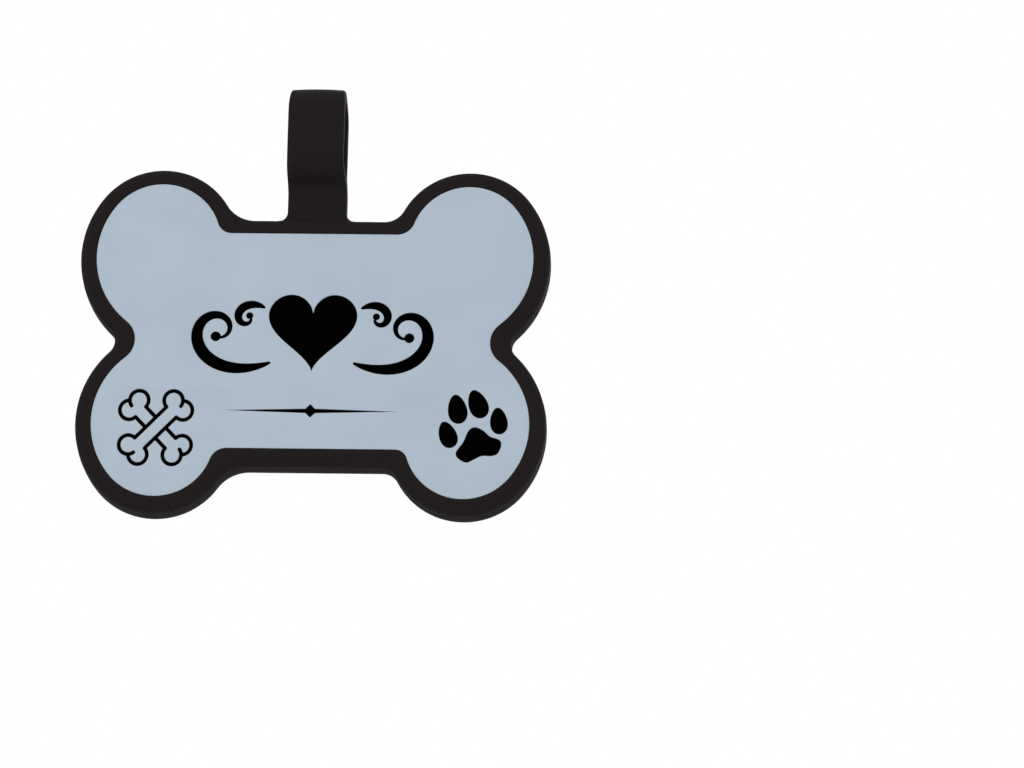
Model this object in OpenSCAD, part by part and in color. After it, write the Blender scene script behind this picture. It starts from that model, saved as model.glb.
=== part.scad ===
// Bone-shaped pet id tag in moulded silicone.
// A black carrier holds a blue-grey panel in each face, and the engraving in the front
// panel is cut down to the black. A silicone strap loop on top takes the collar.
// The strap bends where it grows out of the tag, and that bend is kept as a hinge.
// X runs across the tag, Z is up and the engraved face looks along -Y.
// The origin is the centre of the loop's top bend, where the tag hangs.

/* [Tag body] */
// Width of the tag over its four lobes
tag_w = 50; // [46:0.5:60]
// Height of the tag over its four lobes
tag_h = 37.9; // [34:0.1:42]
// Thickness of the tag
tag_t = 4; // [3.4:0.1:6]
// Height of the tag at its waist
waist_h = 27.2; // [24:0.1:30]
// Radius of the outer side of each lobe
lobe_side_r = 10.9; // [9.5:0.1:12]
// Radius of the top of each lobe
lobe_top_r = 8; // [7:0.1:8.8]
// Direction in degrees in which the two radii of a lobe meet
lobe_turn = 39; // [25:1:55]
// Radius in the notch at each side
notch_r = 1.7; // [0.8:0.1:3]
// Radius where the waist meets a lobe
waist_r = 2.8; // [1.5:0.1:4]
// Rounding of the outer edges
edge_r = 1; // [0.5:0.1:1.3]

/* [Panels] */
// Width of the black rim round each panel
rim_w = 1.7; // [1.5:0.1:2.4]
// Radius of a panel in the side notches
panel_notch_r = 2.5; // [1.5:0.1:4]
// Radius of a panel where the waist meets a lobe
panel_waist_r = 1.5; // [0.8:0.1:3]
// Thickness of each panel
panel_t = 0.4; // [0.3:0.05:1]
// How far the rim stands proud of the panels
panel_recess = 0.1; // [0.05:0.05:0.3]
// Clearance round each panel in its pocket
panel_gap = 0.04; // [0.02:0.01:0.1]

/* [Strap loop] */
// Width of the strap
strap_w = 6; // [4.5:0.1:8]
// Thickness of the strap
strap_t = 1.4; // [1:0.1:1.8]
// Inside radius of the loop's two bends
eye_r = 2.3; // [2.1:0.1:3.2]
// Distance between the centres of the two bends
eye_span = 3.6; // [2.4:0.1:9]
// Rounding of the strap's outer edges
strap_edge_r = 0.6; // [0.3:0.05:0.8]
// Thickness of the neck under the loop
neck_t = 2.2; // [1.6:0.1:2.3]
// Radius of the fillets between the neck and the loop
neck_fillet_r = 1.2; // [0.6:0.1:1.8]

/* [Strap bend] */
// Radius of the round end that the strap bends about
bend_r = 1.3; // [1.25:0.05:1.5]
// Clearance between that round end and its seat in the root
bend_gap = 0.05; // [0.02:0.01:0.08]
// Distance from the bottom of the loop down to the middle of the bend
bend_drop = 1.5; // [1.4:0.05:2.2]
// Height of the middle of the bend above the waist
bend_rise = 2.2; // [2:0.1:3]
// Distance from the middle of the bend down to the lips of its seat
lip_drop = 0.8; // [0.75:0.05:0.9]
// Thickness of the root
root_t = 2.3; // [1.8:0.1:2.4]
// Radius of the fillets between the root and the waist
root_fillet_r = 1.1; // [0.6:0.1:1.1]

/* [Heart, scrolls and rule] */
// Width of the heart
heart_w = 9.4; // [7:0.1:9.6]
// Height of the heart's centre above the tag's middle
heart_y = 1.6; // [0.5:0.1:3]
// Length of each large scroll along its stroke
scroll_l = 17.6; // [14:0.1:18]
// Widest part of a large scroll's stroke
scroll_w = 1.35; // [0.8:0.05:1.5]
// Start of each large scroll, out from the middle of the heart
scroll_out = 4.4; // [4:0.1:5.5]
// Drop from the heart's centre to the start of each large scroll
scroll_drop = 4; // [3.5:0.1:4.5]
// Length of each small scroll along its stroke
small_scroll_l = 6.2; // [5:0.1:6.6]
// Widest part of a small scroll's stroke
small_scroll_w = 0.95; // [0.5:0.05:1.1]
// Start of each small scroll, out from the middle of the heart
small_scroll_out = 5.1; // [5:0.1:5.6]
// Rise from the heart's centre to the start of each small scroll
small_scroll_rise = 2; // [1.6:0.1:2.6]
// Length of the rule under the heart
rule_l = 18.8; // [10:0.2:20]
// Widest part of the rule
rule_w = 0.5; // [0.3:0.05:0.8]
// Height of the rule above the lower edge of the panel
rule_rise = 4.2; // [2:0.1:5]
// Width of the diamond in the middle of the rule
diamond_w = 1.5; // [1:0.1:2.2]

/* [Paw print] */
// Width of the pad
pad_w = 4.8; // [3.5:0.1:5]
// Height of the pad
pad_h = 3.9; // [3:0.1:4.1]
// Length of a full-sized toe
toe_l = 3.2; // [2.2:0.1:3.3]
// Width of a full-sized toe
toe_w = 2; // [1.4:0.05:2.1]
// Distance of the pad's middle out from the middle of its lobe
paw_out = 1.6; // [0:0.1:1.9]
// Drop of the pad's middle from the middle of its lobe
paw_drop = 0.3; // [0:0.1:1.5]

/* [Crossed bones] */
// Length of each small bone between the middles of its ends
small_bone_l = 6.7; // [5:0.1:7.4]
// Distance between the two knobs of an end
knob_span = 1.6; // [1.2:0.1:1.8]
// Radius of a knob
knob_r = 1.05; // [1:0.05:1.2]
// Width of a small bone's shaft
shaft_w = 1.55; // [1:0.05:1.8]
// Width of the engraved line
line_w = 0.38; // [0.25:0.01:0.45]
// How far the line in each cleft runs in past the middles of the knobs
cleft_l = 0.15; // [0:0.05:0.5]
// Rise of the crossing from the middle of its lobe
bones_rise = 1.3; // [0:0.1:2]

/* [Hidden] */
$fn = 48;

// How far each cut runs past the face that it leaves
overrun = 0.5;
// Steps along each arc of an outline and along each rounded edge
arc_steps = 10;
edge_steps = 4;

// Heights of the bend and of the waist, and the radius of the seat
loop_r = eye_r + strap_t;
bend_z = -eye_span - loop_r - bend_drop;
waist_z = bend_z - bend_rise;
seat_r = bend_r + bend_gap;
root_h = bend_rise - lip_drop;

// Middle of the tag, and the centres of the two arcs of its upper right lobe
tag_z = waist_z - waist_h / 2;
lobe_shift = (lobe_side_r - lobe_top_r) * [cos(lobe_turn), sin(lobe_turn)];
side_c = [tag_w / 2 - lobe_side_r, tag_h / 2 - lobe_top_r - lobe_shift.y];
top_c = side_c + lobe_shift;

pocket_depth = panel_t + panel_recess;
web_t = tag_t - 2 * pocket_depth;

// Start of each scroll in degrees from the X axis, how far it turns, and how fast its bend grows
scroll_heading = -22;
scroll_turn = 410;
scroll_growth = 2.5;
small_scroll_heading = 30;
small_scroll_turn = -350;
small_scroll_growth = 2;
scroll_steps = 40;
// Width of a scroll's ends and radius of its last dot, as shares of its widest part
scroll_end_share = 0.16;
scroll_dot_share = 0.4;

// Shape of the pad, as shares of its width and height
pad_shares = [[-0.08, 0.5], [0.09, 0.41], [0.25, 0.24], [0.41, 0.15], [0.49, 0], [0.43, -0.23],
    [0.28, -0.31], [0.08, -0.31], [-0.09, -0.41], [-0.27, -0.5], [-0.43, -0.38], [-0.5, -0.23],
    [-0.43, -0.08], [-0.34, 0.08], [-0.26, 0.33], [-0.19, 0.45]];
pad_steps = 4;
// Each toe's place as shares of the pad's width and height, and its size as a share of a full toe
toe_shares = [[-0.69, 0.28, 0.9], [-0.5, 1, 1], [-0.04, 1.15, 1.01], [0.43, 0.7, 0.89]];
// Lean of each toe in degrees
toe_leans = [18, 11, 21, 7];
// How much narrower a toe is at its tip than across its middle
toe_taper_share = 0.22;

function polar(r, a) = r * [cos(a), sin(a)];
function positive(a) = a < 0 ? a + 360 : a;
function reversed(list) = [for (i = [len(list) - 1 : -1 : 0]) list[i]];
function both_sides(half) = [each half, for (p = reversed(half)) [-p.x, p.y]];

// Arcs of one quarter of the outline from the side notch to the waist, each as
// [centre, radius, first angle, last angle]
function quarter_arcs(inset, notch, fillet) =
    let (
        side = lobe_side_r - inset,
        top = lobe_top_r - inset,
        fillet_y = waist_h / 2 - inset + fillet,
        notch_c = [side_c.x + sqrt(pow(side + notch, 2) - pow(side_c.y, 2)), 0],
        fillet_c = [top_c.x - sqrt(pow(top + fillet, 2) - pow(fillet_y - top_c.y, 2)), fillet_y],
        notch_a = atan2(side_c.y, side_c.x - notch_c.x),
        fillet_a = positive(atan2(fillet_y - top_c.y, fillet_c.x - top_c.x))
    )
    [
        [notch_c, notch, 180, notch_a],
        [side_c, side, notch_a - 180, lobe_turn],
        [top_c, top, lobe_turn, fillet_a],
        [fillet_c, fillet, fillet_a - 180, -90]
    ];

// Points along an arc, from the one numbered first
function arc_points(arc, first = 0) =
    [for (i = [first : arc_steps]) arc[0] + polar(arc[1], arc[2] + (arc[3] - arc[2]) * i / arc_steps)];

// Closed outline of the tag, with its lobes and waist drawn in by inset
function bone_outline(inset, notch, fillet) =
    let (
        arcs = quarter_arcs(inset, notch, fillet),
        quarter = [each arc_points(arcs[0]), for (i = [1 : len(arcs) - 1]) each arc_points(arcs[i], 1)],
        upper = both_sides(quarter),
        n = len(upper)
    )
    [each upper, for (i = [n - 2 : -1 : 1]) [upper[i].x, -upper[i].y]];

// Outline that runs parallel to the outer edge, inside it by inset
function edge_outline(inset) = bone_outline(inset, notch_r + inset, waist_r + inset);

function panel_outline(gap) = bone_outline(rim_w + gap, panel_notch_r + gap, panel_waist_r + gap);

// Smooth closed curve through the points, with steps on each stretch
function smooth_ring(points, steps) =
    let (n = len(points))
    [for (i = [0 : n - 1], j = [0 : steps - 1])
        let (
            t = j / steps,
            a = points[(i + n - 1) % n],
            b = points[i],
            c = points[(i + 1) % n],
            d = points[(i + 2) % n]
        )
        b + ((c - a) * t + (2 * a - 5 * b + 4 * c - d) * t * t + (3 * b - a - 3 * c + d) * t * t * t) / 2];

// The two rounded outer corners of a bar of width w, whose outer side is at x = 0
function rounded_corners(w, r) =
    [
        for (i = [0 : edge_steps]) [-r, r - w / 2] + polar(r, -90 + 90 * i / edge_steps),
        for (i = [0 : edge_steps]) [-r, w / 2 - r] + polar(r, 90 * i / edge_steps)
    ];

// Surface through closed rings of points that all have the same number, from the last ring back to the first
module ring_surface(rings) {
    m = len(rings);
    n = len(rings[0]);
    polyhedron(
        points = [for (ring = rings) each ring],
        faces = [
            for (k = [0 : m - 1], i = [0 : n - 1])
                let (j = (i + 1) % n, this = k * n, next = (k + 1) % m * n)
                each [[this + i, next + j, this + j], [this + i, next + i, next + j]]
        ]
    );
}

// Stands the tag, drawn lying on its back about its own middle, upright under the loop
module upright() {
    translate([0, 0, tag_z]) rotate([90, 0, 0]) children();
}

// Turns what is drawn in the side view, with Y across and Z up, into place
module side_view() {
    rotate([90, 0, 90]) children();
}

// Tag body

function at_height(outline, z) = [for (p = outline) [p.x, p.y, z]];

// Rim: rounded outside, with an upright face round both panels
module rim() {
    ring_surface([
        at_height(panel_outline(0), -tag_t / 2),
        for (p = rounded_corners(tag_t, edge_r)) at_height(edge_outline(-p.x), p.y),
        at_height(panel_outline(0), tag_t / 2)
    ]);
}

// Web between the two panels, which runs into the middle of the rim
module web() {
    linear_extrude(web_t, center = true) polygon(edge_outline(rim_w / 2));
}

// Root of the strap: a block that flares into the waist on both sides
module strap_root() {
    foot = strap_w / 2 + root_fillet_r;
    half = [
        [foot, -edge_r],
        for (i = [0 : arc_steps]) [foot, root_fillet_r] + polar(root_fillet_r, -90 - 90 * i / arc_steps),
        [strap_w / 2, root_h]
    ];
    translate([0, waist_h / 2, 0]) linear_extrude(root_t, center = true) polygon(both_sides(half));
}

module bend_cylinder(r, l) {
    translate([0, 0, bend_z]) rotate([0, 90, 0]) cylinder(r = r, h = l, center = true);
}

// Prism of height h that stands on the web, in the front pocket
module on_web(h) {
    translate([0, 0, web_t / 2]) linear_extrude(h) children();
}

// Engraving

module heart() {
    polygon([for (a = [0 : 5 : 355])
        heart_w / 32 * [16 * pow(sin(a), 3), 13 * cos(a) - 5 * cos(2 * a) - 2 * cos(3 * a) - cos(4 * a)]]);
}

// Stroke of length l and width w that bends ever more tightly along its length, with a dot at its end
module scroll(l, w, heading, turn, growth) {
    function direction(t) = heading + turn * (exp(growth * t) - 1) / (exp(growth) - 1);
    function half_w(t) = w / 2 * (scroll_end_share + (1 - scroll_end_share) * sin(180 * pow(t, 0.75)));
    path = [
        for (
            i = 0, p = [0, 0];
            i <= scroll_steps;
            p = p + polar(l / scroll_steps, direction((i + 0.5) / scroll_steps)), i = i + 1
        )
        [p, i / scroll_steps]
    ];
    polygon([
        for (q = path) q[0] + polar(half_w(q[1]), direction(q[1]) - 90),
        for (q = reversed(path)) q[0] + polar(half_w(q[1]), direction(q[1]) + 90)
    ]);
    translate(path[scroll_steps][0]) circle(scroll_dot_share * w);
}

module scrolls() {
    translate([scroll_out, -scroll_drop])
        scroll(scroll_l, scroll_w, scroll_heading, scroll_turn, scroll_growth);
    translate([small_scroll_out, small_scroll_rise])
        scroll(small_scroll_l, small_scroll_w, small_scroll_heading, small_scroll_turn, small_scroll_growth);
}

module diamond(l, w) {
    polygon([[-l / 2, 0], [0, -w / 2], [l / 2, 0], [0, w / 2]]);
}

module ornament() {
    translate([0, heart_y]) {
        heart();
        for (side = [0, 1]) mirror([side, 0]) scrolls();
    }
    translate([0, rim_w + rule_rise - waist_h / 2]) {
        diamond(rule_l, rule_w);
        diamond(diamond_w, diamond_w);
    }
}

module toe(size) {
    polygon([for (a = [0 : 10 : 350])
        size * [toe_w / 2 * cos(a) * (1 - toe_taper_share * sin(a)), toe_l / 2 * sin(a)]]);
}

module paw() {
    polygon(smooth_ring([for (s = pad_shares) [s.x * pad_w, s.y * pad_h]], pad_steps));
    for (i = [0 : len(toe_shares) - 1])
        translate([toe_shares[i][0] * pad_w, toe_shares[i][1] * pad_h]) rotate(toe_leans[i])
            toe(toe_shares[i][2]);
}

// Shape of one small bone lying along X, grown all round by grow
module small_bone(grow) {
    square([small_bone_l, shaft_w + 2 * grow], center = true);
    for (x = [-1, 1], y = [-1, 1])
        translate([x * small_bone_l / 2, y * knob_span / 2]) circle(knob_r + grow);
}

// What stays standing inside the line round one small bone, with a short line cut into each cleft
module small_bone_island() {
    difference() {
        small_bone(-line_w / 2);
        for (side = [0, 1]) mirror([side, 0])
            translate([small_bone_l / 2 - cleft_l, -line_w / 2]) square([knob_r + cleft_l, line_w]);
    }
}

module bones_place() {
    translate([-top_c.x, bones_rise - top_c.y]) children();
}

module engraving() {
    ornament();
    translate([top_c.x + paw_out, -top_c.y - paw_drop]) paw();
    bones_place() for (turn = [45, -45]) rotate(turn) small_bone(line_w / 2);
}

// Pieces

module carrier() color("#231f20") difference() {
    upright() {
        rim();
        web();
        strap_root();
    }
    bend_cylinder(seat_r, strap_w + 2 * root_fillet_r + overrun);
}

module front_panel() color("#aebcc9") upright() difference() {
    on_web(panel_t) polygon(panel_outline(panel_gap));
    translate([0, 0, -overrun]) on_web(panel_t + 2 * overrun) engraving();
}

// The front bone lies whole over the other one, which shows on both sides of it
module motif_islands() color("#aebcc9") upright() on_web(panel_t) bones_place() {
    rotate(45) small_bone_island();
    difference() {
        rotate(-45) small_bone_island();
        rotate(45) small_bone(line_w / 2);
    }
}

module back_panel() color("#aebcc9") upright() mirror([0, 0, 1])
    on_web(panel_t) polygon(panel_outline(panel_gap));

// Side view of the neck, from the middle of the bend up into the wall of the loop
function neck_outline() =
    let (
        fillet_x = neck_t / 2 + neck_fillet_r,
        fillet_y = -eye_span - sqrt(pow(loop_r + neck_fillet_r, 2) - pow(fillet_x, 2)),
        last_a = atan2(-eye_span - fillet_y, -fillet_x),
        fillet = arc_points([[fillet_x, fillet_y], neck_fillet_r, 180, last_a])
    )
    both_sides([[neck_t / 2, bend_z], each fillet, [fillet[arc_steps].x, -eye_span - eye_r - strap_t / 2]]);

module strap_section() {
    corners = rounded_corners(strap_w, strap_edge_r);
    translate([loop_r, 0]) polygon([[-strap_t, -strap_w / 2], each corners, [-strap_t, strap_w / 2]]);
}

module hanging_loop() color("#231f20") {
    for (side = [0, 1]) {
        side_view() translate([0, -side * eye_span]) rotate(180 * side) rotate_extrude(angle = 180)
            strap_section();
        translate([0, 0, -eye_span]) rotate(180 * side + 90) linear_extrude(eye_span) strap_section();
    }
    side_view() linear_extrude(strap_w, center = true) polygon(neck_outline());
    bend_cylinder(bend_r, strap_w);
}

carrier();
front_panel();
motif_islands();
back_panel();
hanging_loop();
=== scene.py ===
# %% [markdown]
# # A bone-shaped pet id tag in moulded silicone
#
# The tag is moulded in two colours of silicone. A black carrier makes the rim, the thin web
# inside it and the strap on top. A blue-grey sheet fills the shallow pocket in each face. The
# front sheet is engraved right through, so the engraving shows the black web behind it.
#
# The script starts from a measured model of the same tag, loads it as a fixed frame, and then
# builds a finer piece in the place of each plain one. X runs across the tag, Z is up, and the
# engraved face looks along -Y. The origin is the middle of the strap's top bend.

# %% Load the measured model
from math import asin, atan2, ceil, cos, degrees, exp, pi, radians, sin, sqrt

import bmesh
import bpy
from mathutils import Matrix, Vector
from mathutils.geometry import tessellate_polygon


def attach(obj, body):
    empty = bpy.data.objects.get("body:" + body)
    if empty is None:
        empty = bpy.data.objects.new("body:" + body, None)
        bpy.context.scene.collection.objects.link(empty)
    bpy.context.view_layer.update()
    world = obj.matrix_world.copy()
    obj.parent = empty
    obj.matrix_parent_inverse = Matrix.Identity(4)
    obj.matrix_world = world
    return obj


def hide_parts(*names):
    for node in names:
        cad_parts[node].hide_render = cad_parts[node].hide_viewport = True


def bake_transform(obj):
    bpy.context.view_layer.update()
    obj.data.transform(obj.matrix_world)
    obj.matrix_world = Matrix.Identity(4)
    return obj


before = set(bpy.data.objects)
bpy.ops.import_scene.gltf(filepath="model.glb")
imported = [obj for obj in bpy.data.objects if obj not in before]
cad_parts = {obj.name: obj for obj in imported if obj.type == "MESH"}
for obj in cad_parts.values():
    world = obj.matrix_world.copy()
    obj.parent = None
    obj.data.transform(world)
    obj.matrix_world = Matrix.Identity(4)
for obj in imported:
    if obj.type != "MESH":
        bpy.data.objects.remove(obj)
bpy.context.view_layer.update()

MM = 0.001
scene = bpy.context.scene

# %% [markdown]
# ## The camera
#
# The picture is taken from 16 degrees below the tag and a little from its right, with a slight
# turn in the picture itself, so the rim's underside and right side show. The lens is long: at
# 1.2 metres the far and near sides of the tag have nearly the same size.
#
# The tag isn't in the middle of the picture. A camera can be shifted, moved or turned to allow
# for that. Here it is turned, by about one degree, which keeps the side from which the tag is
# seen and leaves the lens unshifted for every other view.

# %% The camera
PHOTO_W, PHOTO_H = 1024, 768
SENSOR = 36.0
CAMERA_AZIMUTH, CAMERA_ELEVATION, CAMERA_ROLL = radians(4.4), radians(-16.06), radians(1.79)
CAMERA_DISTANCE = 1199 * MM
PIXELS_PER_MM = 9.416
TAG_MIDDLE = Vector((0, 0, -24.6)) * MM
TAG_MIDDLE_PIXEL = (313.5, 345.9)


def aimed_camera():
    """Camera at the picture's angle, turned until the tag's middle falls on its pixel."""
    back = Vector((sin(CAMERA_AZIMUTH) * cos(CAMERA_ELEVATION),
                   -cos(CAMERA_AZIMUTH) * cos(CAMERA_ELEVATION), sin(CAMERA_ELEVATION)))
    level = Vector((cos(CAMERA_AZIMUTH), sin(CAMERA_AZIMUTH), 0))
    upright = back.cross(level)
    right = cos(CAMERA_ROLL) * level + sin(CAMERA_ROLL) * upright
    up = cos(CAMERA_ROLL) * upright - sin(CAMERA_ROLL) * level
    straight = Matrix((right, up, back)).transposed()
    focal_pixels = PIXELS_PER_MM * CAMERA_DISTANCE / MM
    off_axis = Vector(((TAG_MIDDLE_PIXEL[0] - PHOTO_W / 2) / focal_pixels,
                       (PHOTO_H / 2 - TAG_MIDDLE_PIXEL[1]) / focal_pixels, -1))
    turn = off_axis.rotation_difference(Vector((0, 0, -1))).to_matrix()
    data = bpy.data.cameras.new("camera")
    data.sensor_width = SENSOR
    data.lens = focal_pixels * SENSOR / PHOTO_W
    data.clip_start, data.clip_end = 0.01, 20
    camera = bpy.data.objects.new("camera", data)
    scene.collection.objects.link(camera)
    camera.rotation_mode = "QUATERNION"
    camera.rotation_quaternion = (straight @ turn).to_quaternion()
    camera.location = TAG_MIDDLE + back * CAMERA_DISTANCE
    return camera


scene.camera = aimed_camera()
print("lens:", round(scene.camera.data.lens, 1), "mm")

# %% [markdown]
# ## Writing shaders as sums
#
# A node tree is a formula drawn as boxes. Long formulas are easier to read as Python, so one
# small class wraps the output of a node and gives it plus, minus and times. Each use adds the
# Math node that does it. Every other node comes from one method, which makes its settings first
# and then sets or links its inputs.

# %% A small language for shaders
class Wire:
    """The output of a node, with arithmetic that adds Math nodes."""

    def __init__(self, shader, socket):
        self.shader, self.socket = shader, socket

    def math(self, operation, first, second, clamp=False):
        return self.shader.node("ShaderNodeMath", {0: first, 1: second},
                                operation=operation, use_clamp=clamp)

    def __add__(self, other):
        return self.math("ADD", self, other)

    def __sub__(self, other):
        return self.math("SUBTRACT", self, other)

    def __rsub__(self, other):
        return self.math("SUBTRACT", other, self)

    def __mul__(self, other):
        return self.math("MULTIPLY", self, other)

    __radd__ = __add__
    __rmul__ = __mul__

    def ramp(self, low, high):
        """0 below low and 1 above high, straight in between."""
        return self.math("MULTIPLY", self - low, 1 / (high - low), clamp=True)


class Shader:
    """A material with one Principled surface, whose inputs are set at the end."""

    def __init__(self, name):
        self.material = bpy.data.materials.new(name)
        self.material.use_nodes = True
        self.tree = self.material.node_tree
        self.tree.nodes.clear()

    def node(self, kind, inputs=None, out=0, **settings):
        node = self.tree.nodes.new(kind)
        for name, value in settings.items():
            setattr(node, name, value)
        for key, value in (inputs or {}).items():
            if isinstance(value, Wire):
                self.tree.links.new(value.socket, node.inputs[key])
            else:
                node.inputs[key].default_value = value
        return Wire(self, node.outputs[out]) if node.outputs else None

    def position(self):
        return self.node("ShaderNodeTexCoord", out="Object")

    def across(self):
        """The Y coordinate in millimetres, which runs through the thickness of the tag."""
        return self.node("ShaderNodeSeparateXYZ", {0: self.position()}, out="Y") * (1 / MM)

    def noise(self, feature_mm, detail=3.0, offset=(0, 0, 0)):
        """Noise between 0 and 1 whose blotches are about feature_mm across."""
        moved = self.node("ShaderNodeVectorMath", {0: self.position(), 1: offset}, operation="ADD")
        return self.node("ShaderNodeTexNoise", {"Vector": moved, "Scale": 1 / (feature_mm * MM),
                                                "Detail": detail, "Roughness": 0.5})

    def mixed(self, share, first, second):
        """A colour between two others."""
        return self.node("ShaderNodeMix", {0: share, 6: first, 7: second}, out=2, data_type="RGBA")

    def bump(self, height, depth_mm, strength):
        return self.node("ShaderNodeBump", {"Height": height, "Distance": depth_mm * MM,
                                            "Strength": strength})

    def surface(self, **inputs):
        named = {name.replace("_", " "): value for name, value in inputs.items()}
        shader = self.node("ShaderNodeBsdfPrincipled", named)
        self.node("ShaderNodeOutputMaterial", {"Surface": shader})
        return self.material


def describe(*materials):
    """Print how many nodes each material has."""
    for material in materials:
        print(f"{material.name}: {len(material.node_tree.nodes)} nodes")


print("shader helpers:", Wire.__name__, Shader.__name__, describe.__name__)

# %% [markdown]
# ## Floor and light
#
# The tag hangs from a collar, so nothing stands under it: the floor lies well below, where it
# blocks no view from beneath. The sky is plain white to the eye and in reflections, and a little
# dimmer as a lamp. Three wide soft lamps add the rest, so that a surface shows its own colour.

# %% Floor and light
FLOOR_DROP, FLOOR_SIZE, FLOOR_COLOUR = 1.2, 8.0, (0.93, 0.93, 0.93, 1)
SKY_LIGHT = 0.74
LAMPS = [  # name, direction from the tag, distance and width in metres, light as a share of white
    ("key", (-0.55, -0.75, 0.55), 2.0, 1.1, 0.26),
    ("fill", (0.8, -0.7, -0.25), 2.0, 1.4, 0.12),
    ("back", (0.2, 0.9, 0.5), 2.0, 1.2, 0.30),
]


def plain_floor():
    """A wide square under everything."""
    shader = Shader("pale floor")
    shader.surface(Base_Color=FLOOR_COLOUR, Roughness=1.0, Specular_IOR_Level=0.0)
    mesh = bpy.data.meshes.new("floor")
    half = FLOOR_SIZE / 2
    mesh.from_pydata([(-half, -half, -FLOOR_DROP), (half, -half, -FLOOR_DROP),
                      (half, half, -FLOOR_DROP), (-half, half, -FLOOR_DROP)], [], [(0, 1, 2, 3)])
    mesh.materials.append(shader.material)
    floor = bpy.data.objects.new("floor", mesh)
    scene.collection.objects.link(floor)


def white_sky():
    """White to the eye and in reflections, and SKY_LIGHT strong as a lamp."""
    world = bpy.data.worlds.new("sky")
    world.use_nodes = True
    tree = world.node_tree
    path = tree.nodes.new("ShaderNodeLightPath")
    seen = path.outputs["Is Camera Ray"]
    for ray in ("Is Glossy Ray", "Is Transmission Ray"):
        either = tree.nodes.new("ShaderNodeMath")
        either.operation = "MAXIMUM"
        tree.links.new(seen, either.inputs[0])
        tree.links.new(path.outputs[ray], either.inputs[1])
        seen = either.outputs[0]
    strength = tree.nodes.new("ShaderNodeMapRange")
    strength.inputs["To Min"].default_value = SKY_LIGHT
    strength.inputs["To Max"].default_value = 1.0
    tree.links.new(seen, strength.inputs["Value"])
    background = tree.nodes["Background"]
    background.inputs["Color"].default_value = (1, 1, 1, 1)
    tree.links.new(strength.outputs["Result"], background.inputs["Strength"])
    scene.world = world


def soft_lamp(name, direction, distance, width, share):
    """A disk lamp aimed at the tag, which lights a white surface there to share of white."""
    data = bpy.data.lights.new(name, "AREA")
    data.shape, data.size = "DISK", width
    data.energy = share * pi * pi * distance ** 2
    lamp = bpy.data.objects.new(name, data)
    toward = Vector(direction).normalized()
    lamp.location = TAG_MIDDLE + toward * distance
    lamp.rotation_mode = "QUATERNION"
    lamp.rotation_quaternion = toward.to_track_quat("Z", "Y")
    scene.collection.objects.link(lamp)
    print(f"{name} lamp: {data.energy:.2f} watts")


scene.view_settings.view_transform = "Standard"
plain_floor()
white_sky()
for lamp in LAMPS:
    soft_lamp(*lamp)

# %% [markdown]
# ## The two silicones
#
# Moulded silicone is matt. Its skin has the fine grain of the mould, its rounded edges are a
# little paler and duller where they rub on things, and black silicone picks up specks of dust.
# Each of these is a noise of its own size: a slow one for the tone, a fine one for the grain,
# and a rare one for the specks. The rim and the strap also carry an attribute called edge,
# which is 1 on their rounded edges, because that is where wear sits.

# %% The two silicones
BLACK = (0.0114, 0.0086, 0.0092, 1)
BLACK_WORN = (0.0138, 0.0109, 0.0115, 1)
DUST = (0.09, 0.086, 0.082, 1)
BLUE = (0.403, 0.483, 0.564, 1)
BLUE_PALE = (0.424, 0.506, 0.589, 1)
# Painted shade in the engraving: the cut walls darken to it, and the engraving's floor varies towards
# it
ENGRAVING_SHADE = (0.0012, 0.0011, 0.0011, 1)
SILICONE_IOR = 1.41
# The tag's thickness, and how far its blue-grey faces lie below the rim, in millimetres
TAG_T, PANEL_RECESS = 4.0, 0.1
SHEET_FACE = TAG_T / 2 - PANEL_RECESS
# Depths below that face between which a cut wall turns from blue-grey to painted shade
ENGRAVING_SHADE_START, ENGRAVING_SHADE_FULL = 0.05, 0.16


def black_silicone():
    s = Shader("black silicone")
    tone = s.noise(3.2)
    grain = s.noise(0.22)
    # Only the highest peaks of the third noise count, so the specks are rare
    speck = s.noise(0.35, detail=1.0, offset=(0.4, 0.1, 0.2)).ramp(0.765, 0.80)
    edge = s.node("ShaderNodeAttribute", out="Fac", attribute_name="edge")
    # Wear sits on the edges, and the slow noise breaks it up
    wear = (edge * 0.6 + tone * 0.5).ramp(0.15, 1.0)
    colour = s.mixed(speck * 0.35, s.mixed(wear, BLACK, BLACK_WORN), DUST)
    roughness = 0.78 + (tone - 0.5) * 0.16 + edge * 0.08 + speck * 0.1
    bump = s.bump(grain + speck * 0.5, depth_mm=0.018, strength=0.8)
    return s.surface(Base_Color=colour, Roughness=roughness, IOR=SILICONE_IOR,
                     Specular_IOR_Level=0.10, Normal=bump)


def blue_silicone():
    s = Shader("blue-grey silicone")
    tone = s.noise(5.0)
    grain = s.noise(0.2)
    depth = SHEET_FACE - s.node("ShaderNodeMath", {0: s.across()}, operation="ABSOLUTE")
    # The cut walls darken to painted shade the deeper they lie below the face, and turn rougher
    painted_shade = depth.ramp(ENGRAVING_SHADE_START, ENGRAVING_SHADE_FULL)
    colour = s.mixed(painted_shade, s.mixed(tone.ramp(0.3, 0.7), BLUE, BLUE_PALE), ENGRAVING_SHADE)
    roughness = 0.56 + (tone - 0.5) * 0.12 + painted_shade * 0.3
    return s.surface(Base_Color=colour, Roughness=roughness, IOR=SILICONE_IOR,
                     Specular_IOR_Level=0.3, Normal=s.bump(grain, depth_mm=0.015, strength=0.8))


black = black_silicone()
blue = blue_silicone()
describe(black, blue)

# %% [markdown]
# ## The floor of the engraving
#
# A laser has cut the blue-grey sheet away, line by line, and left the black web behind it
# dull. The web gets a finish of its own: painted shade that makes it nearly black and darker
# than the rim, a very rough surface, and the fine parallel lines of the laser's path across it.

# %% The floor of the engraving
# Painted shade: the colour of the engraving's floor, darker than the rim's black silicone
ENGRAVED_FLOOR_SHADE = (0.0003, 0.0003, 0.0003, 1)
WAVE_MM = 0.9  # the wave texture makes a little over three bands in this length


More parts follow.
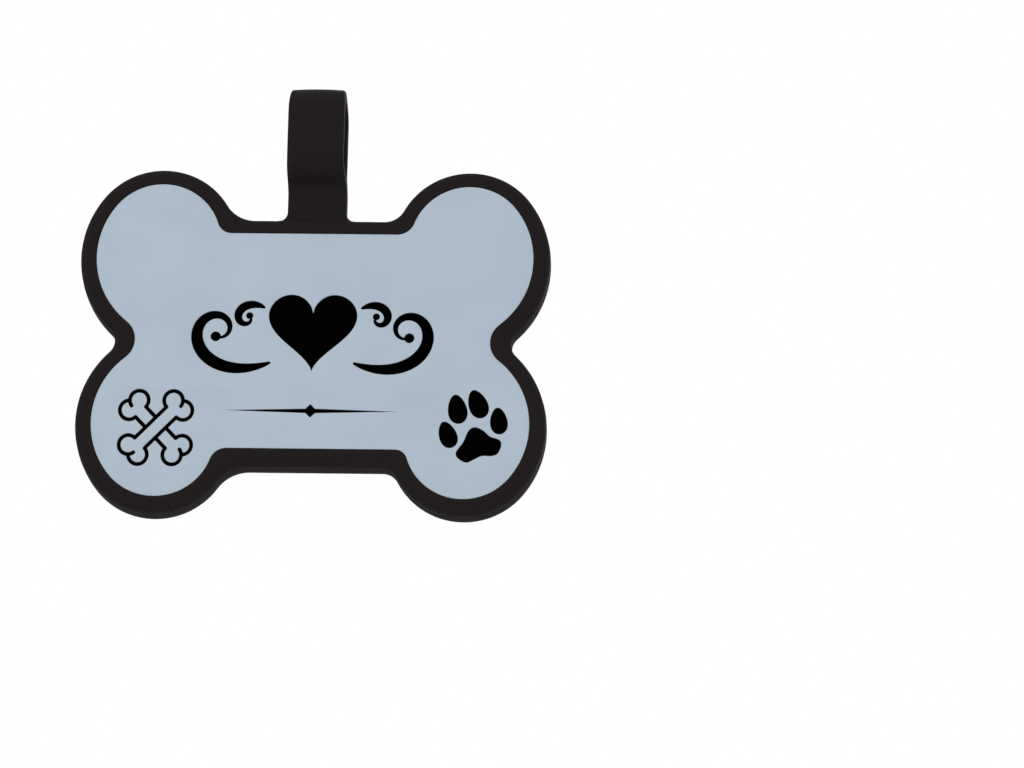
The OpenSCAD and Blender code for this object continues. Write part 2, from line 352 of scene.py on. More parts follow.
def engraved_floor():
    s = Shader("engraved floor")
    lines = s.node("ShaderNodeTexWave", {"Vector": s.position(), "Scale": 1 / (WAVE_MM * MM),
                                         "Distortion": 0.3}, out="Fac", bands_direction="Z")
    shade_mottle = s.noise(0.5)
    # The floor's colour is painted shade that varies at random; its laser lines are bump
    return s.surface(Base_Color=s.mixed(shade_mottle, ENGRAVED_FLOOR_SHADE, ENGRAVING_SHADE), IOR=SILICONE_IOR,
                     Roughness=0.85 + shade_mottle * 0.1, Specular_IOR_Level=0.0,
                     Normal=s.bump(lines, depth_mm=0.012, strength=0.5))


engraved = engraved_floor()
describe(engraved)

# %% [markdown]
# ## The outline of the tag
#
# The outline is made of arcs that meet without a corner. Each quarter has four: a tight hollow
# one in the notch at the side, the outer side of the lobe, the lobe's smaller top, and a hollow
# one where the lobe meets the waist. A curve could be drawn by eye, but with arcs the same few
# radii give the outer edge, the rim's inner edge and everything between. The bone isn't quite
# even: its waist lies a touch low, and each corner of the waist has a radius of its own.

# %% The outline of the tag
TAG_W, TAG_H, WAIST_H, WAIST_DROP = 50.0, 37.9, 27.2, 0.14
LOBE_SIDE_R, LOBE_TOP_R, LOBE_TURN = 10.9, 8.0, 39.0
NOTCH_R, PANEL_NOTCH_R, RIM_W, EDGE_R = 1.7, 2.5, 1.7, 1.0
# The corners of the waist: upper right, upper left, lower left and lower right
WAIST_RS, PANEL_WAIST_RS = (2.3, 3.5, 4.1, 1.8), (1.9, 1.5, 1.8, 1.3)
ARC_STEPS = 28
TAG_Z = -24.6


def polar(radius, angle):
    """The point at this distance and angle in degrees from the middle."""
    return Vector((radius * cos(radians(angle)), radius * sin(radians(angle))))


LOBE_SHIFT = polar(LOBE_SIDE_R - LOBE_TOP_R, LOBE_TURN)
SIDE_C = Vector((TAG_W / 2 - LOBE_SIDE_R, TAG_H / 2 - LOBE_TOP_R - LOBE_SHIFT.y))
TOP_C = SIDE_C + LOBE_SHIFT


def arc(centre, radius, first, last, steps=ARC_STEPS):
    return [Vector(centre) + polar(radius, first + (last - first) * i / steps)
            for i in range(steps + 1)]


def quarter(inset, notch, fillet, drop):
    """The upper right quarter of the outline, from the side notch to the waist.

    Two arcs touch without a corner where the line through their centres crosses both, so the
    centres of the hollow arcs and all the angles follow from the radii.
    """
    side, top = LOBE_SIDE_R - inset, LOBE_TOP_R - inset
    fillet_y = WAIST_H / 2 - drop - inset + fillet
    notch_x = SIDE_C.x + sqrt((side + notch) ** 2 - SIDE_C.y ** 2)
    fillet_x = TOP_C.x - sqrt((top + fillet) ** 2 - (fillet_y - TOP_C.y) ** 2)
    notch_a = degrees(atan2(SIDE_C.y, SIDE_C.x - notch_x))
    fillet_a = degrees(atan2(fillet_y - TOP_C.y, fillet_x - TOP_C.x)) % 360
    return (arc((notch_x, 0), notch, 180, notch_a)
            + arc(SIDE_C, side, notch_a - 180, LOBE_TURN)[1:]
            + arc(TOP_C, top, LOBE_TURN, fillet_a)[1:]
            + arc((fillet_x, fillet_y), fillet, fillet_a - 180, -90)[1:])


def bone_ring(inset, notch, fillets, drop=0):
    """The closed outline, anticlockwise from the right notch, with a fillet for each corner."""
    upper_right, upper_left, lower_left, lower_right = [
        quarter(inset, notch, fillet, side * drop) for fillet, side in zip(fillets, (1, 1, -1, -1))]
    return (upper_right + [Vector((-p.x, p.y)) for p in reversed(upper_left)]
            + [Vector((-p.x, -p.y)) for p in lower_left[1:]]
            + [Vector((p.x, -p.y)) for p in reversed(lower_right[1:])])


def edge_ring(inset):
    """The outer edge of the rim, moved inwards by inset."""
    return bone_ring(inset, NOTCH_R + inset, [r + inset for r in WAIST_RS], WAIST_DROP)


def panel_ring(gap):
    """The inner edge of the rim, moved inwards by gap."""
    return bone_ring(RIM_W + gap, PANEL_NOTCH_R + gap, [r + gap for r in PANEL_WAIST_RS])


print("points in the outline:", len(edge_ring(0)))

# %% [markdown]
# ## Meshes from rings
#
# Every moulded piece of the tag is a stack of closed rings with the same number of points,
# joined by strips of four-sided faces and closed by a flat face at each end. The helpers below
# draw in millimetres with the tag lying on its back, and stand the result upright in metres.

# %% Meshes from rings
SAME_POINT = 0.0005  # points closer than this, in millimetres, are one


def upright(x, y, height):
    return Vector((x, -height, y + TAG_Z)) * MM


def quarter_turn(steps):
    """Angles from 0 to a right angle, in radians, for a rounded edge."""
    return [pi / 2 * i / steps for i in range(steps + 1)]


def new_piece(name, bm, materials, sharp_angle=40, merge=SAME_POINT):
    """A mesh object from a bmesh, smooth except where faces meet at more than sharp_angle."""
    bmesh.ops.remove_doubles(bm, verts=bm.verts, dist=merge * MM)
    bmesh.ops.recalc_face_normals(bm, faces=bm.faces)
    mesh = bpy.data.meshes.new(name)
    bm.to_mesh(mesh)
    bm.free()
    for material in materials:
        mesh.materials.append(material)
    mesh.shade_smooth()
    mesh.set_sharp_from_angle(angle=radians(sharp_angle))
    piece = bpy.data.objects.new(name, mesh)
    scene.collection.objects.link(piece)
    return piece


def add_strip(bm, first, second, gaps=()):
    """Four-sided faces between two rings, but none after the points numbered in gaps."""
    n = len(first)
    for i in range(n):
        if i not in gaps:
            j = (i + 1) % n
            bm.faces.new((first[i], first[j], second[j], second[i]))


def add_cap(bm, rings, material=0):
    """A flat face bounded by the first ring, with the others as holes in it."""
    verts = [v for ring in rings for v in ring]
    for triangle in tessellate_polygon([[v.co / MM for v in ring] for ring in rings]):
        face = bm.faces.new([verts[i] for i in triangle])
        face.material_index = material


def report(piece):
    """Print how many faces a piece has, its volume, and whether it is closed."""
    bm = bmesh.new()
    bm.from_mesh(piece.data)
    open_edges = sum(not e.is_manifold for e in bm.edges)
    volume = bm.calc_volume(signed=True) / MM ** 3
    bm.free()
    print(f"{piece.name}: {len(piece.data.polygons)} faces, {volume:.1f} mm3, {open_edges} open edges")


print("steps of a rounded edge, in degrees:", [round(degrees(a)) for a in quarter_turn(3)])

# %% [markdown]
# ## The rim and its web
#
# The carrier is what the mould makes first: a rounded rim with a thin web across it, and a
# shallow pocket on each face. The rim is swept once round the outline. Its inner edge isn't
# parallel to the outer one, because the corners of the pocket are tighter, so each ring is
# drawn with its own radii instead of moving one outline inwards. Half way down the side runs a
# hair-fine ridge, where the two halves of the mould met. Bump could paint it, but as geometry
# it also shows in outline and in the mesh itself, and it costs only three rings.

# %% The rim and its web
PANEL_T, PANEL_GAP = 0.4, 0.04
POCKET_FLOOR = SHEET_FACE - PANEL_T
LIP_R, LIP_STEPS, ROUND_STEPS = 0.16, 4, 7
SEAM_W, SEAM_RISE = 0.14, 0.035


def rim_rings():
    """(ring, height, edge share) from the front pocket's floor round to the back one's."""
    face = TAG_T / 2
    lip = [(panel_ring(-LIP_R * (1 - cos(a))), face - LIP_R * (1 - sin(a)), sin(a))
           for a in quarter_turn(LIP_STEPS)]
    outer = [(edge_ring(EDGE_R * (1 - sin(a))), face - EDGE_R * (1 - cos(a)), sin(2 * a))
             for a in quarter_turn(ROUND_STEPS)]
    front = [(panel_ring(0), POCKET_FLOOR, 0)] + lip + outer + [(edge_ring(0), SEAM_W / 2, 0)]
    seam = [(edge_ring(-SEAM_RISE), 0, 0.5)]
    return front + seam + [(ring, -height, edge) for ring, height, edge in reversed(front)]


def make_rim():
    bm = bmesh.new()
    edge = bm.verts.layers.float.new("edge")
    rings = []
    for points, height, share in rim_rings():
        ring = [bm.verts.new(upright(p.x, p.y, height)) for p in points]
        for v in ring:
            v[edge] = share
        rings.append(ring)
    for first, second in zip(rings, rings[1:]):
        add_strip(bm, first, second)
    # The web has the engraved floor's material, whose colour is painted shade, where it shows through
    # the front sheet
    add_cap(bm, [rings[0]], material=1)
    add_cap(bm, [rings[-1]], material=0)
    return new_piece("rim", bm, [black, engraved], sharp_angle=24)


rim = make_rim()
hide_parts("carrier")
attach(rim, "tag")
report(rim)

# %% [markdown]
# ## Sheets with openings
#
# The blue-grey sheets are flat, with a soft edge at the face and a straight cut below it. One
# helper makes all of them from closed outlines: the first is the outside and the rest are the
# engraved openings. An outline can be grown or shrunk along its corners' bisectors, and that
# gives the rings of the soft edge. The outside runs anticlockwise and the openings clockwise,
# so that the material always lies to the left and one rule serves both.

# %% Sheets with openings
SOFT_EDGE, SOFT_STEPS = 0.04, 3
# A corner moves at most this many times further than the sides, and not at all when the sum of
# the directions of its two sides is shorter than SHARPEST
MOST_MITRE, SHARPEST = 1.6, 0.2


def signed_area(ring):
    return sum(a.x * b.y - b.x * a.y for a, b in zip(ring, ring[1:] + ring[:1])) / 2


def turned(ring, anticlockwise):
    """The ring, reversed if it runs the other way round."""
    return ring if (signed_area(ring) > 0) == anticlockwise else ring[::-1]


def inward(ring, distance):
    """The ring moved to its left by distance, and by a little more at its corners."""
    moved = []
    for i, p in enumerate(ring):
        before = (p - ring[i - 1]).normalized()
        after = (ring[(i + 1) % len(ring)] - p).normalized()
        bisector = Vector((-before.y - after.y, before.x + after.x))
        length = bisector.length
        # A tip so sharp that the line turns back on itself stays where it is
        mitre = 0 if length < SHARPEST else min(2 / length, MOST_MITRE)
        moved.append(p + bisector.normalized() * distance * mitre)
    return moved


def make_sheet(name, shapes, face, back):
    """Flat pieces between two heights. Each shape is an outside ring and its openings."""
    side = 1 if face > back else -1
    levels = [(SOFT_EDGE * (1 - sin(a)), face - side * SOFT_EDGE * (1 - cos(a)))
              for a in quarter_turn(SOFT_STEPS)] + [(0, back)]
    bm = bmesh.new()
    for outside, *openings in shapes:
        outlines = [turned(outside, True)] + [turned(ring, False) for ring in openings]
        stacks = []
        for ring in outlines:
            stacks.append([[bm.verts.new(upright(p.x, p.y, height))
                            for p in inward(ring, offset)] for offset, height in levels])
        for stack in stacks:
            for first, second in zip(stack, stack[1:]):
                add_strip(bm, first, second)
        add_cap(bm, [stack[0] for stack in stacks])
        add_cap(bm, [stack[-1] for stack in stacks])
    return new_piece(name, bm, [blue], sharp_angle=24)


square = [Vector(p) for p in ((0, 0), (1, 0), (1, 1), (0, 1))]
print("area of a unit square shrunk by 0.1:", round(signed_area(inward(square, 0.1)), 3))

# %% [markdown]
# ## The engraving
#
# The middle of the tag has a heart between two mirrored scrolls, with a thin rule below. A paw
# print fills one lower lobe and a pair of crossed bones the other. All of it is drawn from
# rules. The heart is a known curve, each scroll is a stroke that bends more and more tightly
# towards a round end, and the bones are arcs and straight lines. Strokes and dots that touch
# are joined into one outline here, because a sheet can't have openings that overlap.

# %% The heart, the scrolls and the rule
HEART_W, HEART_Y, HEART_STEPS, CLEFT_STEPS = 9.4, 1.6, 120, 6
SCROLLS = [  # start, length, width, heading, turn and growth of its bend
    ((4.4, -4.0), 17.6, 1.35, -22, 410, 2.5),
    ((5.1, 2.0), 6.2, 0.95, 30, -350, 2.0),
]
SCROLL_STEPS, SCROLL_END_SHARE, SCROLL_SWELL = 96, 0.16, 0.75
DOT_STEPS, DOT_SHARE = 36, 0.4
RULE_L, RULE_W, RULE_RISE, DIAMOND_W = 18.8, 0.5, 4.2, 1.5


def heart():
    """A heart curve, cut short in the cleft, where its two sides run too close together.

    The curve is 32 units wide before it is scaled.
    """
    first, last = CLEFT_STEPS, HEART_STEPS - CLEFT_STEPS
    turns = [2 * pi * i / HEART_STEPS for i in [0, *range(first, last + 1)]]
    return [HEART_W / 32 * Vector((16 * sin(a) ** 3,
                                   13 * cos(a) - 5 * cos(2 * a) - 2 * cos(3 * a) - cos(4 * a)))
            for a in turns]


def scroll(start, length, width, heading, turn, growth):
    """The outline of a stroke that bends by turn degrees in all and ends in a round dot."""
    def direction(t):
        return heading + turn * (exp(growth * t) - 1) / (exp(growth) - 1)

    def half(t):
        share = SCROLL_END_SHARE + (1 - SCROLL_END_SHARE) * sin(pi * t ** SCROLL_SWELL)
        return width / 2 * share

    path = [Vector(start)]
    for i in range(SCROLL_STEPS):
        path.append(path[-1] + polar(length / SCROLL_STEPS, direction((i + 0.5) / SCROLL_STEPS)))
    dot, dot_r = path[-1], DOT_SHARE * width
    sides = [[p + polar(half(i / SCROLL_STEPS), direction(i / SCROLL_STEPS) + side)
              for i, p in enumerate(path)] for side in (-90, 90)]
    right, left = [[p for p in side if (p - dot).length > dot_r] for side in sides]
    first = degrees(atan2(*(right[-1] - dot).yx))
    last = degrees(atan2(*(left[-1] - dot).yx))
    while last <= first + 180:
        last += 360
    return right + arc(dot, dot_r, first, last, DOT_STEPS) + left[::-1]


def rule():
    """A long thin diamond with a small square one across its middle."""
    meet_x = (DIAMOND_W - RULE_W) / 2 / (1 - RULE_W / RULE_L)
    meet_y = DIAMOND_W / 2 - meet_x
    corner = [(RULE_L / 2, 0), (meet_x, meet_y), (0, DIAMOND_W / 2)]
    upper = corner + [(-x, y) for x, y in reversed(corner[:-1])]
    lower = [(x, -y) for x, y in reversed(upper[1:-1])]
    return [Vector(p) for p in upper + lower]


def moved(ring, x, y, angle=0):
    """The ring turned by an angle in degrees and then moved."""
    turn = Matrix.Rotation(radians(angle), 2)
    return [turn @ p + Vector((x, y)) for p in ring]


def mirrored(ring):
    """The ring with left and right changed over."""
    return [Vector((-p.x, p.y)) for p in reversed(ring)]


ornament = [moved(heart(), 0, HEART_Y)]
for sizes in SCROLLS:
    stroke = moved(scroll(*sizes), 0, HEART_Y)
    ornament += [stroke, mirrored(stroke)]
ornament.append(moved(rule(), 0, RIM_W + RULE_RISE - WAIST_H / 2))
print("openings in the ornament:", len(ornament))

# %% [markdown]
# ## The paw print
#
# A paw print is one broad pad and four toes. The toes are one egg shape, each a little larger
# or smaller and leaning its own way, and the pad is a smooth closed curve through sixteen points.

# %% The paw print
PAD_W, PAD_H, PAW_OUT, PAW_DROP = 4.8, 3.9, 1.6, 0.3
PAD_SHARES = [(-0.08, 0.5), (0.09, 0.41), (0.25, 0.24), (0.45, 0.15), (0.5, 0), (0.43, -0.23),
              (0.28, -0.31), (0.08, -0.31), (-0.09, -0.41), (-0.27, -0.5), (-0.45, -0.38),
              (-0.5, -0.23), (-0.43, -0.08), (-0.34, 0.08), (-0.26, 0.33), (-0.19, 0.45)]
TOE_L, TOE_W, TOE_TAPER_SHARE, TOE_STEPS = 3.2, 2.0, 0.2, 64
TOES = [  # place as shares of the pad's width and height, size, lean in degrees
    (-0.69, 0.28, 0.94, 20), (-0.49, 1.0, 1.01, 10), (-0.04, 1.15, 1.01, 21), (0.43, 0.68, 0.92, 7),
]


def smooth_ring(points, steps=8):
    """A closed Catmull-Rom curve, which passes through all the points."""
    ring, n = [], len(points)
    for i in range(n):
        a, b, c, d = (points[(i + k) % n] for k in (-1, 0, 1, 2))
        for t in (j / steps for j in range(steps)):
            ring.append(b + ((c - a) * t + (2 * a - 5 * b + 4 * c - d) * t ** 2
                             + (3 * b - a - 3 * c + d) * t ** 3) / 2)
    return ring


def toe(size):
    return [size * Vector((TOE_W / 2 * cos(a) * (1 - TOE_TAPER_SHARE * sin(a)), TOE_L / 2 * sin(a)))
            for a in (2 * pi * i / TOE_STEPS for i in range(TOE_STEPS))]


paw = [smooth_ring([Vector((x * PAD_W, y * PAD_H)) for x, y in PAD_SHARES])]
for x, y, size, lean in TOES:
    paw.append(moved(toe(size), x * PAD_W, y * PAD_H, lean))
paw = [moved(ring, TOP_C.x + PAW_OUT, -TOP_C.y - PAW_DROP) for ring in paw]
print("openings in the paw print:", len(paw))

# %% [markdown]
# ## The crossed bones
#
# The bones are drawn with a line of even width, so the engraving is the space between an
# outline outside the line and one inside it. Each has a function that draws the half of a bone
# from its middle to its end. Four outer halves round the crossing make the opening. Inside it
# stand three islands: the front bone whole, and the two ends of the one behind it. A pen that
# draws such an end runs on a little where the two knobs meet, so the line of one knob curls
# into the island.

# %% The crossed bones
BONE_L, KNOB_SPAN, KNOB_R, SHAFT_W, LINE_W = 6.77, 1.5, 1.02, 1.55, 0.42
CURL_TURN = 34  # how far the curl runs on round its knob, in degrees
BONES_RISE = 1.25  # above the middle of the lobe, in millimetres
BONES_STRETCH = 1.024  # the motif is this many times taller than drawn, and as much narrower
KNOB_STEPS, CURL_STEPS, JOIN_STEPS = 30, 8, 6


def flipped(ring):
    """The ring with top and bottom changed over."""
    return [Vector((p.x, -p.y)) for p in reversed(ring)]


def outer_half(start):
    """Half a bone outside the line, from below the shaft at start round the end to above it."""
    half_w, r, end_y = SHAFT_W / 2 + LINE_W / 2, KNOB_R + LINE_W / 2, KNOB_SPAN / 2
    neck, last = 180 + degrees(asin((half_w - end_y) / r)), 360 + degrees(asin(end_y / r))
    lower = [Vector((start, -half_w))] + arc((BONE_L / 2, -end_y), r, neck, last, KNOB_STEPS)
    lower[-1].y = 0
    return lower + flipped(lower)[1:]


def inner_half(start):
    """The same inside the line, with the upper knob's line running on past the lower one's."""
    half_w, r, end_y = (SHAFT_W - LINE_W) / 2, KNOB_R - LINE_W / 2, KNOB_SPAN / 2
    lower, upper = Vector((BONE_L / 2, -end_y)), Vector((BONE_L / 2, end_y))
    far_r = r + LINE_W
    meet_y = (r ** 2 - far_r ** 2) / (4 * end_y)
    meet = Vector((BONE_L / 2 + sqrt(r ** 2 - (meet_y + end_y) ** 2), meet_y))
    neck = degrees(asin((SHAFT_W / 2 - end_y) / KNOB_R))
    curl_end = -degrees(asin(end_y / KNOB_R)) - CURL_TURN
    below, beyond = (degrees(atan2(*(meet - centre).yx)) for centre in (lower, upper))
    tip = upper + polar(KNOB_R, curl_end)
    lower_join, upper_join = lower + polar(KNOB_R, 180 + neck), upper + polar(KNOB_R, 180 - neck)
    return ([Vector((start, -half_w))]
            + arc(lower_join, LINE_W / 2, 90, neck, JOIN_STEPS)
            + arc(lower, r, 180 + neck, 360 + below, KNOB_STEPS)[1:]
            + arc(upper, far_r, beyond, curl_end, CURL_STEPS)[1:]
            + arc(tip, LINE_W / 2, curl_end, curl_end - 180, CURL_STEPS)[1:]
            + arc(upper, r, curl_end, 180 - neck, KNOB_STEPS)[1:]
            + arc(upper_join, LINE_W / 2, -neck, -90, JOIN_STEPS)[1:]
            + [Vector((start, half_w))])


def spun(ring, angle):
    return moved(ring, 0, 0, angle)


crossing = SHAFT_W / 2 + LINE_W / 2
bones_opening = []
for angle in (45, 135, 225, 315):
    bones_opening += spun(outer_half(crossing), angle)[:-1]
whole_half, cut_half = inner_half(0), flipped(inner_half(crossing))
islands = [spun(whole_half, 45)[:-1] + spun(flipped(whole_half), 225)[:-1],
           spun(cut_half, 135), spun(cut_half, 315)]
bones_opening, *islands = [
    moved([Vector((p.x / BONES_STRETCH, p.y * BONES_STRETCH)) for p in ring],
          -TOP_C.x, BONES_RISE - TOP_C.y) for ring in [bones_opening] + islands]
print("points round the bones:", len(bones_opening), "islands inside:", len(islands))

# %% [markdown]
# ## The front sheet and its islands
#
# With the openings ready, the front sheet is one call, and so are the islands that the laser
# left standing on the web. Their soft edges are only a few hundredths of a millimetre, just
# enough to catch a thin line of light.

# %% The front sheet and its islands
sheet_edge = panel_ring(PANEL_GAP)
front_sheet = make_sheet("front_sheet", [[sheet_edge, *ornament, *paw, bones_opening]],
                         SHEET_FACE, POCKET_FLOOR)
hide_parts("front_panel")
bone_islands = make_sheet("bone_islands", [[ring] for ring in islands], SHEET_FACE, POCKET_FLOOR)
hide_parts("motif_islands")
back_sheet = make_sheet("back_sheet", [[sheet_edge]], -SHEET_FACE, -POCKET_FLOOR)
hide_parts("back_panel")
for sheet in (front_sheet, bone_islands, back_sheet):
    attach(sheet, "tag")
    report(sheet)

# %% [markdown]
# ## The strap's arch
#
# The strap is a flat band that rises from the tag, runs round the collar and comes back to its
# own neck. Its upper half follows a plain path, which is what Geometry Nodes do best: a half
# circle is lifted off its two end points, and a rounded rectangle is swept along the arch that
# this makes. The sizes are inputs of the tree, so the same tree makes a wider or longer strap.

# %% The strap's arch
STRAP_W, STRAP_T, EYE_R, EYE_SPAN, STRAP_EDGE_R = 6.0, 1.4, 2.3, 3.6, 0.3
LOOP_R = EYE_R + STRAP_T
EDGE_STEPS, ARCH_POINTS = 6, 65
ON_AXIS = 0.01  # points of the half circle nearer to its axis than this, in millimetres, are its ends


def arch_tree():
    tree = bpy.data.node_groups.new("strap arch", "GeometryNodeTree")
    tree.interface.new_socket("Geometry", in_out="INPUT", socket_type="NodeSocketGeometry")
    for name in ("Strap width", "Strap thickness", "Eye radius", "Leg length", "Edge rounding"):
        tree.interface.new_socket(name, in_out="INPUT", socket_type="NodeSocketFloat")
    tree.interface.new_socket("Finish", in_out="INPUT", socket_type="NodeSocketMaterial")
    tree.interface.new_socket("Geometry", in_out="OUTPUT", socket_type="NodeSocketGeometry")
    source = tree.nodes.new("NodeGroupInput").outputs

    def node(kind, inputs, out=0, **settings):
        made = tree.nodes.new(kind)
        for name, value in settings.items():
            setattr(made, name, value)
        for key, value in inputs.items():
            if isinstance(value, bpy.types.NodeSocket):
                tree.links.new(value, made.inputs[key])
            else:
                made.inputs[key].default_value = value
        return made.outputs[out]

    def math(operation, first, second):
        return node("ShaderNodeMath", {0: first, 1: second}, operation=operation)

    middle_r = math("ADD", source["Eye radius"], math("MULTIPLY", source["Strap thickness"], 0.5))
    path = node("GeometryNodeCurveArc", {"Resolution": ARCH_POINTS, "Radius": middle_r,
                                         "Start Angle": 0.0, "Sweep Angle": pi}, mode="RADIUS")
    height = node("ShaderNodeSeparateXYZ", {0: node("GeometryNodeInputPosition", {})}, out="Y")
    off_end = math("GREATER_THAN", height, ON_AXIS * MM)
    lift = node("ShaderNodeCombineXYZ", {"Y": math("MULTIPLY", off_end, source["Leg length"])})
    arch = node("GeometryNodeSetPosition", {"Geometry": path, "Offset": lift})
    arch = node("GeometryNodeSetCurveNormal", {"Curve": arch}, mode="Z_UP")
    section = node("GeometryNodeCurvePrimitiveQuadrilateral",
                   {"Width": source["Strap thickness"], "Height": source["Strap width"]})
    section = node("GeometryNodeFilletCurve", {"Curve": section, "Count": EDGE_STEPS,
                                               "Radius": source["Edge rounding"]}, mode="POLY")
    band = node("GeometryNodeCurveToMesh", {"Curve": arch, "Profile Curve": section})
    drop = node("ShaderNodeCombineXYZ", {"Z": math("MULTIPLY", source["Leg length"], -1.0)})
    band = node("GeometryNodeTransform", {"Geometry": band, "Translation": drop,
                                          "Rotation": (pi / 2, 0, pi / 2)})
    band = node("GeometryNodeRealizeInstances", {"Geometry": band})
    band = node("GeometryNodeSetMaterial", {"Geometry": band, "Material": source["Finish"]})
    tree.links.new(band, tree.nodes.new("NodeGroupOutput").inputs[0])
    return tree


def from_nodes(name, tree, inputs):
    """A plain mesh made by a node tree with these values in its inputs."""
    holder = bpy.data.objects.new(name, bpy.data.meshes.new(name))
    scene.collection.objects.link(holder)
    modifier = holder.modifiers.new("nodes", "NODES")
    modifier.node_group = tree
    for socket in tree.interface.items_tree:
        if socket.in_out == "INPUT" and socket.name in inputs:
            modifier[socket.identifier] = inputs[socket.name]
    evaluated = holder.evaluated_get(bpy.context.evaluated_depsgraph_get())
    mesh = bpy.data.meshes.new_from_object(evaluated)
    bpy.data.objects.remove(holder)
    return mesh


arch = from_nodes("strap_arch", arch_tree(), {
    "Strap width": STRAP_W * MM, "Strap thickness": STRAP_T * MM, "Eye radius": EYE_R * MM,
    "Leg length": EYE_SPAN / 2 * MM, "Edge rounding": STRAP_EDGE_R * MM, "Finish": black})
print("faces in the arch:", len(arch.polygons))

# %% [markdown]
# ## The neck, the root and the whole strap
#
# The lower half of the strap has a fork in it, where the band comes back to its own neck, and a
# sweep can't make a fork. So this half is drawn as a side view, in layers from one side of the
# strap to the other. The outer layers are drawn a little smaller, which rounds the edges. Later
# the lowest points are moved outwards, which makes the flare and the fillet at the waist. Its two
# open ends have the same points as the ends of the arch, so merging close points makes one skin.

# %% The neck, the root and the whole strap
NECK_T, NECK_FILLET_R, ROOT_FILLET_R, FOOT_R, ROOT_SINK = 2.2, 1.2, 1.1, 0.45, 0.3
WAIST_Z = TAG_Z + WAIST_H / 2 - WAIST_DROP
# The fillet before and behind the foot touches the neck at FOOT_TOP and the rim at FOOT_END
FOOT_REACH = NECK_T / 2 + FOOT_R - (TAG_T / 2 - EDGE_R)
FOOT_RISE = sqrt((EDGE_R + FOOT_R) ** 2 - FOOT_REACH ** 2)
FOOT_TOP = WAIST_Z - EDGE_R + FOOT_RISE
FOOT_END = WAIST_Z - EDGE_R + FOOT_RISE * EDGE_R / (EDGE_R + FOOT_R)
LEVEL_STEP, FILLET_STEPS, BEND_STEPS = 0.15, 12, 24


def eased(t):
    """From 0 to 1 without a jerk at either end."""
    t = min(max(t, 0), 1)
    return t * t * (3 - 2 * t)


def fork_side(inset):
    """(y, z) points of one side, from inside the rim up to the leg and back under the eye."""
    fillet_y = NECK_T / 2 + NECK_FILLET_R
    fillet_z = -EYE_SPAN - sqrt((LOOP_R + NECK_FILLET_R) ** 2 - fillet_y ** 2)
    levels = [WAIST_Z - ROOT_SINK, FOOT_END, (FOOT_END + WAIST_Z) / 2]
    levels += [WAIST_Z + ROOT_FILLET_R * (1 - cos(a)) for a in quarter_turn(FILLET_STEPS)]
    straight = fillet_z - levels[-1]
    count = ceil(straight / LEVEL_STEP)
    levels += [levels[-1] + straight * i / count for i in range(1, count)]
    toward = degrees(atan2(fillet_z + EYE_SPAN, fillet_y))
    neck = [Vector((NECK_T / 2 - inset, z)) for z in levels]
    fillet = arc((fillet_y, fillet_z), NECK_FILLET_R + inset, 180, toward + 180, FILLET_STEPS)
    bend = arc((0, -EYE_SPAN), LOOP_R - inset, toward, 0, BEND_STEPS)[1:]
    leg = [Vector((y, -EYE_SPAN / 2)) for y in (LOOP_R - inset, EYE_R + inset)]
    return neck + fillet + bend + leg, arc((0, -EYE_SPAN), EYE_R + inset, 0, -90, BEND_STEPS)


def add_fork(bm):
    """The lower half of the strap, open at the ends of its two legs."""
    rounding = [(STRAP_W / 2 - STRAP_EDGE_R * (1 - sin(a)), STRAP_EDGE_R * (1 - cos(a)))
                for a in quarter_turn(EDGE_STEPS)]
    rings = []
    for x, inset in [(-x, inset) for x, inset in reversed(rounding)] + rounding:
        outside, under_eye = fork_side(inset)
        half = outside + under_eye
        ring = half + [Vector((-p.x, p.y)) for p in reversed(half[:-1])]
        rings.append([bm.verts.new(Vector((x, p.x, p.y)) * MM) for p in ring])
    # No face between the two end points of a leg, where the arch goes on
    leg = len(outside) - 2
    gaps = (leg, len(ring) - 2 - leg)
    for first, second in zip(rings, rings[1:]):
        add_strip(bm, first, second, gaps)
    for ring in (rings[0], rings[-1]):
        for triangle in tessellate_polygon([[Vector((v.co.y, v.co.z, 0)) / MM for v in ring]]):
            bm.faces.new([ring[i] for i in triangle])


bm = bmesh.new()
bm.from_mesh(arch)
add_fork(bm)
print("faces in the straight strap:", len(bm.faces))

# %% [markdown]
# ## The strap's last shaping
#
# A moulded band is never quite straight. This one is wider at the neck than round the eye,
# narrows again at the crown, which is slightly domed, and leans a little to one side. All of it
# is a small move of each point, so it is done on the whole skin at once. The skin first gets a
# few cuts along the band, because a dome needs points between the two edges.

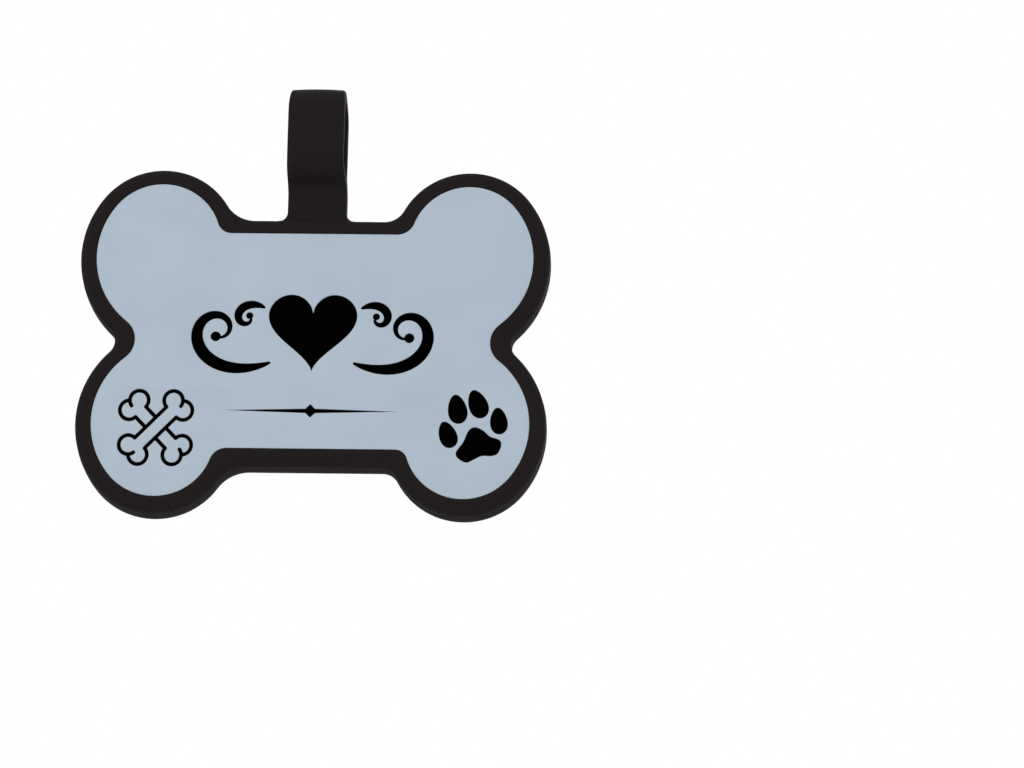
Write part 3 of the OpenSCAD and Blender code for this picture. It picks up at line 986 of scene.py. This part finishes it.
# %% The strap's last shaping
NECK_SPREAD, SPREAD_TOP, SPREAD_END = 0.042, -4.2, -7.6
LEAN, LEAN_START, LEAN_END = -0.2, -8.4, -4.8
CROWN_Z, CROWN_NARROWING, CROWN_STRETCH, CROWN_DROP = 1.0, 0.03, 0.02, 0.12
CUT_SHARES = (-0.6, -0.4, -0.2, 0, 0.2, 0.4, 0.6)
WEAR_START, WEAR_GROWTH = 0.8, 0.15  # shares of half the strap's width
JOIN = 0.01  # how close the points of the arch and the fork are, in millimetres


def crown_share(z):
    """0 below the crown and 1 at its top."""
    return eased((z - CROWN_Z) / (LOOP_R - CROWN_Z))


def width_share(z):
    """Width of the strap at height z as a share of its width round the eye."""
    rise = min(max(z - WAIST_Z, 0), ROOT_FILLET_R)
    flare = ROOT_FILLET_R - sqrt(ROOT_FILLET_R ** 2 - (ROOT_FILLET_R - rise) ** 2)
    spread = NECK_SPREAD * eased((SPREAD_TOP - z) / (SPREAD_TOP - SPREAD_END))
    return 1 + spread + flare * 2 / STRAP_W - CROWN_NARROWING * crown_share(z)


def thickness_share(z):
    """Thickness of the strap at height z as a share of its own, more in the fillet at its foot."""
    drop = min(max(FOOT_TOP - z, 0), FOOT_TOP - FOOT_END)
    return 1 + (FOOT_R - sqrt(FOOT_R ** 2 - drop ** 2)) * 2 / NECK_T


for share in CUT_SHARES:
    bmesh.ops.bisect_plane(bm, geom=bm.verts[:] + bm.edges[:] + bm.faces[:], plane_no=(1, 0, 0),
                           plane_co=(share * STRAP_W / 2 * MM, 0, 0), dist=SAME_POINT * MM)
edge = bm.verts.layers.float.new("edge")
for v in bm.verts:
    x, y, z = v.co / MM
    out = abs(x) * 2 / STRAP_W
    v[edge] = eased((out - WEAR_START) / WEAR_GROWTH)
    lean = LEAN * eased((z - LEAN_START) / (LEAN_END - LEAN_START))
    dome = CROWN_STRETCH * max(z, 0) - CROWN_DROP * crown_share(z) * out ** 2
    v.co = Vector((x * width_share(z) + lean, y * thickness_share(z), z + dome)) * MM
strap = new_piece("strap", bm, [black], merge=JOIN)
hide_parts("hanging_loop")
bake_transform(strap)
report(strap)
